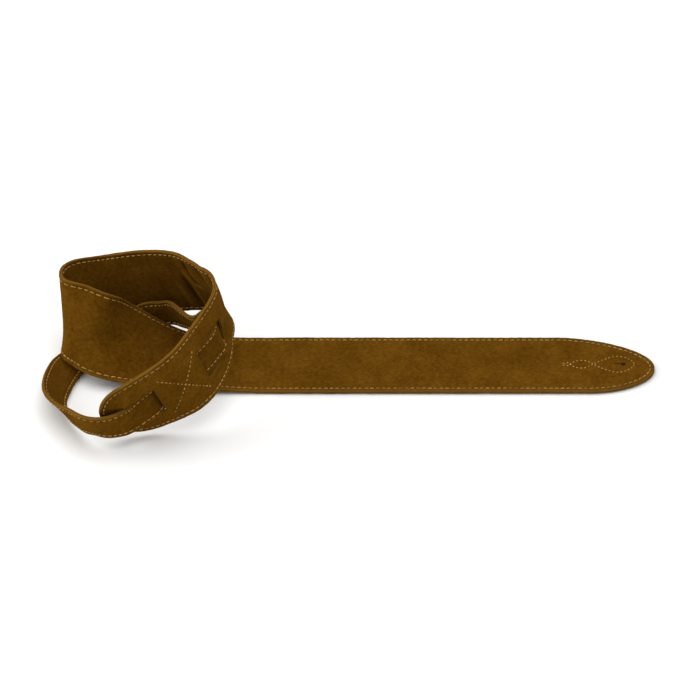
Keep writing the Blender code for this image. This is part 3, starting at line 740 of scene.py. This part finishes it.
def suede(name, base, light, dark, edge_tint, seed):
    """Napped suede: cloudy mottling, brushed streaks, a grain of short fibres, painted shade and light from the 'fold'
    attribute, a lighter cut edge that is partly its own tone and partly painted highlight, a soft sheen.
    """
    mat = bpy.data.materials.new(name)
    mat.use_nodes = True
    tree = mat.node_tree
    link = tree.links.new
    shader = tree.nodes["Principled BSDF"]
    uv = tree.nodes.new("ShaderNodeUVMap")
    uv.uv_map = "strap"
    shift = node(tree, "ShaderNodeMapping")
    shift.inputs["Location"].default_value = (seed * 3.1, seed * 1.7, seed)
    link(uv.outputs["UV"], shift.inputs["Vector"])
    streak = node(tree, "ShaderNodeMapping")
    streak.inputs["Scale"].default_value = (0.55, 1.5, 1.0)
    streak.inputs["Rotation"].default_value = (0, 0, 0.5)
    link(shift.outputs["Vector"], streak.inputs["Vector"])
    clouds = node(tree, "ShaderNodeTexNoise", Scale=0.55, Detail=3.0, Roughness=0.55)
    blotch = node(tree, "ShaderNodeTexNoise", Scale=3.2, Detail=4.0, Roughness=0.6)
    brush = node(tree, "ShaderNodeTexNoise", Scale=7.0, Detail=2.0, Roughness=0.5)
    grain = node(tree, "ShaderNodeTexNoise", Scale=15.0, Detail=3.0, Roughness=0.75)
    for texture, source in ((clouds, shift), (blotch, shift), (brush, streak), (grain, shift)):
        link(source.outputs["Vector"], texture.inputs["Vector"])

    def scaled(texture, low, high):
        span = node(tree, "ShaderNodeMapRange")
        span.inputs["From Min"].default_value = 0.30
        span.inputs["From Max"].default_value = 0.70
        span.inputs["To Min"].default_value = low
        span.inputs["To Max"].default_value = high
        link(texture.outputs["Fac"], span.inputs["Value"])
        return span.outputs["Result"]

    def maths(operation, a, b):
        m = tree.nodes.new("ShaderNodeMath")
        m.operation = operation
        for socket, value in zip(m.inputs, (a, b)):
            if isinstance(value, (int, float)):
                socket.default_value = value
            else:
                link(value, socket)
        return m.outputs["Value"]

    tone = maths("ADD", scaled(clouds, -0.15, 0.15), scaled(blotch, -0.17, 0.17))
    tone = maths("ADD", tone, scaled(brush, -0.12, 0.12))
    tone = maths("ADD", tone, scaled(grain, -0.30, 0.30))
    # painted shade and light from the 'fold' attribute: darker in fold hollows and round the windows, lighter on fold
    # ridges
    fold = tree.nodes.new("ShaderNodeAttribute")
    fold.attribute_name = "fold"
    tone = maths("ADD", tone, maths("MULTIPLY", fold.outputs["Fac"], 0.42))
    tone = maths("ADD", tone, 0.5)
    ramp = tree.nodes.new("ShaderNodeValToRGB")
    ramp.color_ramp.elements[0].position = 0.10
    ramp.color_ramp.elements[0].color = dark
    ramp.color_ramp.elements[1].position = 0.90
    ramp.color_ramp.elements[1].color = light
    mid = ramp.color_ramp.elements.new(0.5)
    mid.color = base
    link(tone, ramp.inputs["Fac"])
    # the cut edge is mixed toward edge_tint: the raw edge's own tone plus a painted highlight
    rim = tree.nodes.new("ShaderNodeAttribute")
    rim.attribute_name = "edge"
    mix = tree.nodes.new("ShaderNodeMix")
    mix.data_type = "RGBA"
    link(maths("MULTIPLY", rim.outputs["Fac"], 0.55), mix.inputs[0])
    link(ramp.outputs["Color"], mix.inputs[6])
    mix.inputs[7].default_value = edge_tint
    link(mix.outputs[2], shader.inputs["Base Color"])
    shader.inputs["Roughness"].default_value = 0.93
    shader.inputs["Specular IOR Level"].default_value = 0.0
    shader.inputs["Sheen Weight"].default_value = 0.10
    shader.inputs["Sheen Roughness"].default_value = 0.5
    shader.inputs["Sheen Tint"].default_value = (0.60, 0.34, 0.06, 1)
    bump = node(tree, "ShaderNodeBump", Strength=0.55, Distance=0.0004)
    relief = maths("ADD", scaled(grain, 0.0, 0.55), scaled(blotch, 0.0, 0.45))
    link(relief, bump.inputs["Height"])
    link(bump.outputs["Normal"], shader.inputs["Normal"])
    mat.diffuse_color = base
    return mat


def sewing_thread(name, base):
    """Tan twisted thread: fine turns of the yarn and a slight shine."""
    mat = bpy.data.materials.new(name)
    mat.use_nodes = True
    tree = mat.node_tree
    link = tree.links.new
    shader = tree.nodes["Principled BSDF"]
    where = tree.nodes.new("ShaderNodeTexCoord")
    wave = node(tree, "ShaderNodeTexWave", Scale=420.0, Distortion=2.0, Detail=1.0)
    wave.bands_direction = "DIAGONAL"
    dirt = node(tree, "ShaderNodeTexNoise", Scale=180.0, Detail=2.0)
    link(where.outputs["Object"], wave.inputs["Vector"])
    link(where.outputs["Object"], dirt.inputs["Vector"])
    ramp = tree.nodes.new("ShaderNodeValToRGB")
    ramp.color_ramp.elements[0].color = tuple(0.55 * c for c in base[:3]) + (1,)
    ramp.color_ramp.elements[1].color = tuple(min(1.0, 1.2 * c) for c in base[:3]) + (1,)
    ramp.color_ramp.elements[0].position = 0.30
    ramp.color_ramp.elements[1].position = 0.62
    link(dirt.outputs["Fac"], ramp.inputs["Fac"])
    link(ramp.outputs["Color"], shader.inputs["Base Color"])
    shader.inputs["Roughness"].default_value = 0.75
    shader.inputs["Specular IOR Level"].default_value = 0.15
    bump = node(tree, "ShaderNodeBump", Strength=0.5, Distance=0.00012)
    link(wave.outputs["Fac"], bump.inputs["Height"])
    link(bump.outputs["Normal"], shader.inputs["Normal"])
    return mat


FACE = suede("suede_face", (0.1080, 0.0435, 0.0028, 1), (0.165, 0.073, 0.0065, 1), (0.060, 0.023, 0.0014, 1),
             (0.215, 0.110, 0.018, 1), 1.0)
BACK = suede("suede_backing", (0.094, 0.0375, 0.0026, 1), (0.145, 0.063, 0.0058, 1), (0.052, 0.020, 0.0013, 1),
             (0.195, 0.098, 0.016, 1), 5.0)
TAN = sewing_thread("thread_tan", (0.37, 0.215, 0.058, 1))


# ---------------------------------------------------------------- the lengths
def from_origin(p):
    return tuple((float(c) - float(o)) * MM for c, o in zip(p, ORIGIN))


def cut_hole(obj, place, x_axis, z_axis):
    """Cuts a button hole with its short slit through a finished layer, and keeps the result as plain mesh."""
    import bmesh
    z = Vector(z_axis).normalized()
    x = Vector(x_axis).normalized()
    y = z.cross(x).normalized()
    x = y.cross(z)
    frame_matrix = Matrix.Translation(Vector(from_origin(place))) @ Matrix((x, y, z)).transposed().to_4x4()
    bm = bmesh.new()
    bmesh.ops.create_cone(bm, cap_ends=True, segments=32, radius1=1.9 * MM, radius2=1.9 * MM, depth=14 * MM)
    made = bmesh.ops.create_cube(bm, size=1.0)["verts"]
    bmesh.ops.scale(bm, vec=(7.0 * MM, 0.9 * MM, 13.7 * MM), verts=made)
    bmesh.ops.rotate(bm, cent=(0, 0, 0), matrix=Matrix.Rotation(-0.12, 3, "Z"), verts=made)
    bmesh.ops.translate(bm, vec=(-3.5 * MM, 0.5 * MM, 0), verts=made)
    mesh = bpy.data.meshes.new("hole_cutter")
    bm.to_mesh(mesh)
    bm.free()
    cutter = bpy.data.objects.new("hole_cutter", mesh)
    cutter.matrix_world = frame_matrix
    cutter.hide_render = True
    bpy.context.scene.collection.objects.link(cutter)
    modifier = obj.modifiers.new("hole", "BOOLEAN")
    modifier.operation = "DIFFERENCE"
    modifier.solver = "EXACT"
    modifier.use_self = True
    modifier.object = cutter
    bpy.context.view_layer.update()
    graph = bpy.context.evaluated_depsgraph_get()
    done = bpy.data.meshes.new_from_object(obj.evaluated_get(graph))
    obj.modifiers.clear()
    old = obj.data
    obj.data = done
    bpy.data.objects.remove(cutter, do_unlink=True)
    return obj


NODES = sorted(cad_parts)


def nodes_with(*starts, kind):
    return [n for n in NODES if n.startswith(starts) and kind(n)]


is_face = lambda n: n.endswith("face_layer")
is_back = lambda n: n.endswith("backing_layer")
is_thread = lambda n: "thread" in n


def follow(obj, bodies):
    if len(bodies) == 1:
        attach(obj, bodies[0])
    else:
        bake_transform(obj)


def length_of_strap(name, span, bodies, across, starts, sheet, u_of, closed, buckle, inset, marks, seed,
                    windows=(), fine_at=(), round_at=(), capped=(), step=1.1, hole=None, pitch_length=STITCH_LENGTH):
    a, b = span
    s_rows = stations(a, b, step, fine_at, round_at)
    u_grid = u_of(s_rows)
    for label, side, paint, slot, chosen in (("face", 1, FACE, "suede_face", is_face), ("backing", -1, BACK, "suede_backing", is_back)):
        obj = slab(f"{name}_{label}", sheet, s_rows, u_grid, closed, buckle, inset, side, seed + side, windows, capped)
        obj.data.materials.append(paint)
        if hole is not None:
            cut_hole(obj, *hole)
        follow(obj, bodies)
        if starts:
            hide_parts(*nodes_with(*starts, kind=chosen))
    here = [m for m in marks if a <= m[0] < b]
    if here:
        obj = stitches(f"{name}_stitches", sheet, buckle, here, closed, inset, pitch_length, seed)
        obj.data.materials.append(TAN)
        follow(obj, bodies)
        if starts:
            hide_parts(*nodes_with(*starts, kind=is_thread))


wide = dict(sheet=on_wide, u_of=wide_u, closed=WIDE_OUTLINE, buckle=wide_buckle, inset=STITCH_INSET)
all_wide = WIDE_MARKS + CROSS_MARKS + CHAIN_MARKS
place = lambda s, u=0.0, n=0.0: on_wide(s, u, n)
flat_s = lambda x: COIL_START_X - x

length_of_strap("strap_tip", (TIP_S, flat_s(250)), ("tip",), None, ("tip",), marks=all_wide, seed=101,
                round_at=((TIP_S, 1),), capped=("start",),
                hole=((HOLE_X, 0, MID_HEIGHT), (1, 0, 0), (0, 0, 1)), **wide)
length_of_strap("strap_outer_bend", (flat_s(250), flat_s(164)), ("run_outer", "tip"),
                ((202, 0, MID_HEIGHT), (230, 0, MID_HEIGHT)), ("run_outer",), marks=all_wide, seed=101, **wide)
length_of_strap("strap_inner_bend", (flat_s(164), flat_s(62)), ("run_inner", "run_outer"),
                ((98, 0, MID_HEIGHT), (126, 0, MID_HEIGHT)), ("run_inner",), marks=all_wide, seed=101, **wide)
length_of_strap("strap_rise", (flat_s(62), 80.0), ("run_inner", "coil_front"),
                ((26, 0, MID_HEIGHT), (-2, 0, MID_HEIGHT)), ("coil_front",), marks=all_wide, seed=101, **wide)
FOLD = on_wide(FOLD_S, 0)
length_of_strap("strap_fold", (80.0, 250.0), ("coil_back", "coil_front"),
                ((FOLD[0], FOLD[1] + 12, FOLD[2]), (FOLD[0], FOLD[1] - 12, FOLD[2])), (), marks=all_wide, seed=101, **wide)
length_of_strap("strap_band", (250.0, COIL_END), ("coil_back",), None, ("coil_band", "bridge"), marks=all_wide, seed=101,
                windows=(SLOT_1, SLOT_2), fine_at=(*SLOT_1, *SLOT_2), round_at=((COIL_END, -1),), capped=("end",),
                step=1.0, **wide)

narrow = dict(sheet=on_tail, u_of=tail_u, closed=TAIL_OUTLINE, buckle=tail_buckle, inset=TAIL_INSET)
hinge_at = on_tail(TAIL_HINGE, 0)
hinge_way = unit(on_tail(TAIL_HINGE + 2, 0) - on_tail(TAIL_HINGE - 2, 0))
length_of_strap("tail_loop", (0.0, 75.0), ("tail_loop",), None, ("tail_loop",), marks=TAIL_MARKS, seed=301,
                capped=("start",), step=0.9, pitch_length=2.7, **narrow)
length_of_strap("tail_bend", (75.0, 215.0), ("tail_loop", "tail_woven"),
                (hinge_at - 14 * hinge_way, hinge_at + 14 * hinge_way), (), marks=TAIL_MARKS, seed=301,
                step=0.9, pitch_length=2.7, **narrow)
hole_s = TAIL_LENGTH - TAIL_HOLE_FROM_TIP
length_of_strap("tail_woven", (215.0, TAIL_LENGTH), ("tail_woven",), None, ("tail_woven",), marks=TAIL_MARKS, seed=301,
                round_at=((TAIL_LENGTH, -1),), capped=("end",), step=0.9, pitch_length=2.7,
                hole=(on_tail(hole_s, 0), tail.read(np.array(hole_s), tail.t), tail.read(np.array(hole_s), tail.n)), **narrow)

# ---------------------------------------------------------------- floor, light and camera
low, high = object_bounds()
floor_z = min(low[2], CAD_LOW[2]) - 0.0002


def floor_material():
    mat = bpy.data.materials.new("studio_floor")
    mat.use_nodes = True
    tree = mat.node_tree
    shader = tree.nodes["Principled BSDF"]
    noise = node(tree, "ShaderNodeTexNoise", Scale=2.0, Detail=1.0)
    ramp = tree.nodes.new("ShaderNodeValToRGB")
    ramp.color_ramp.elements[0].color = (0.915, 0.912, 0.90, 1)
    ramp.color_ramp.elements[1].color = (0.93, 0.927, 0.915, 1)
    tree.links.new(noise.outputs["Fac"], ramp.inputs["Fac"])
    tree.links.new(ramp.outputs["Color"], shader.inputs["Base Color"])
    shader.inputs["Roughness"].default_value = 1.0
    shader.inputs["Specular IOR Level"].default_value = 0.0
    return mat


import bmesh as _bm
mesh = bpy.data.meshes.new("floor")
grid = _bm.new()
_bm.ops.create_grid(grid, x_segments=1, y_segments=1, size=6.0)
grid.to_mesh(mesh)
grid.free()
floor = bpy.data.objects.new("floor", mesh)
floor.location = (0, 0, floor_z)
mesh.materials.append(floor_material())
bpy.context.scene.collection.objects.link(floor)


def lamp(name, kind, place, aim, power, size, colour=(1, 1, 1)):
    data = bpy.data.lights.new(name, kind)
    data.energy = power
    data.color = colour
    if kind == "AREA":
        data.shape = "DISK"
        data.size = size
    obj = bpy.data.objects.new(name, data)
    obj.location = place
    obj.rotation_mode = "QUATERNION"
    obj.rotation_quaternion = (Vector(aim) - Vector(place)).to_track_quat("-Z", "Y")
    bpy.context.scene.collection.objects.link(obj)
    return obj


lamp("key", "AREA", (-0.15, 0.10, 1.6), (0.0, 0.0, 0.0), 20.0, 2.2)
lamp("left", "AREA", (-1.5, 0.05, 0.75), (-0.12, 0, 0.04), 11.0, 1.1)

world = bpy.data.worlds.new("studio")
world.use_nodes = True
world.node_tree.nodes["Background"].inputs["Color"].default_value = (1, 1, 1, 1)
world.node_tree.nodes["Background"].inputs["Strength"].default_value = 0.58
bpy.context.scene.world = world
bpy.context.scene.view_settings.view_transform = "Standard"
bpy.context.scene.view_settings.look = "None"
bpy.context.scene.view_settings.exposure = 0.0
bpy.context.scene.view_settings.gamma = 1.0

camera_data = bpy.data.cameras.new("camera")
camera_data.type = "ORTHO"
camera_data.ortho_scale = 0.5331
camera_data.clip_start = 0.01
camera_data.clip_end = 10.0
camera = bpy.data.objects.new("camera", camera_data)
tilt = math.radians(40)
centre = Vector((0.0891, 0.00857, 0.01021)) - Vector(ORIGIN) * MM
camera.location = centre + Vector((0, -math.cos(tilt), math.sin(tilt))) * 2.0
camera.rotation_euler = (math.radians(50), 0, 0)
bpy.context.scene.collection.objects.link(camera)
bpy.context.scene.camera = camera
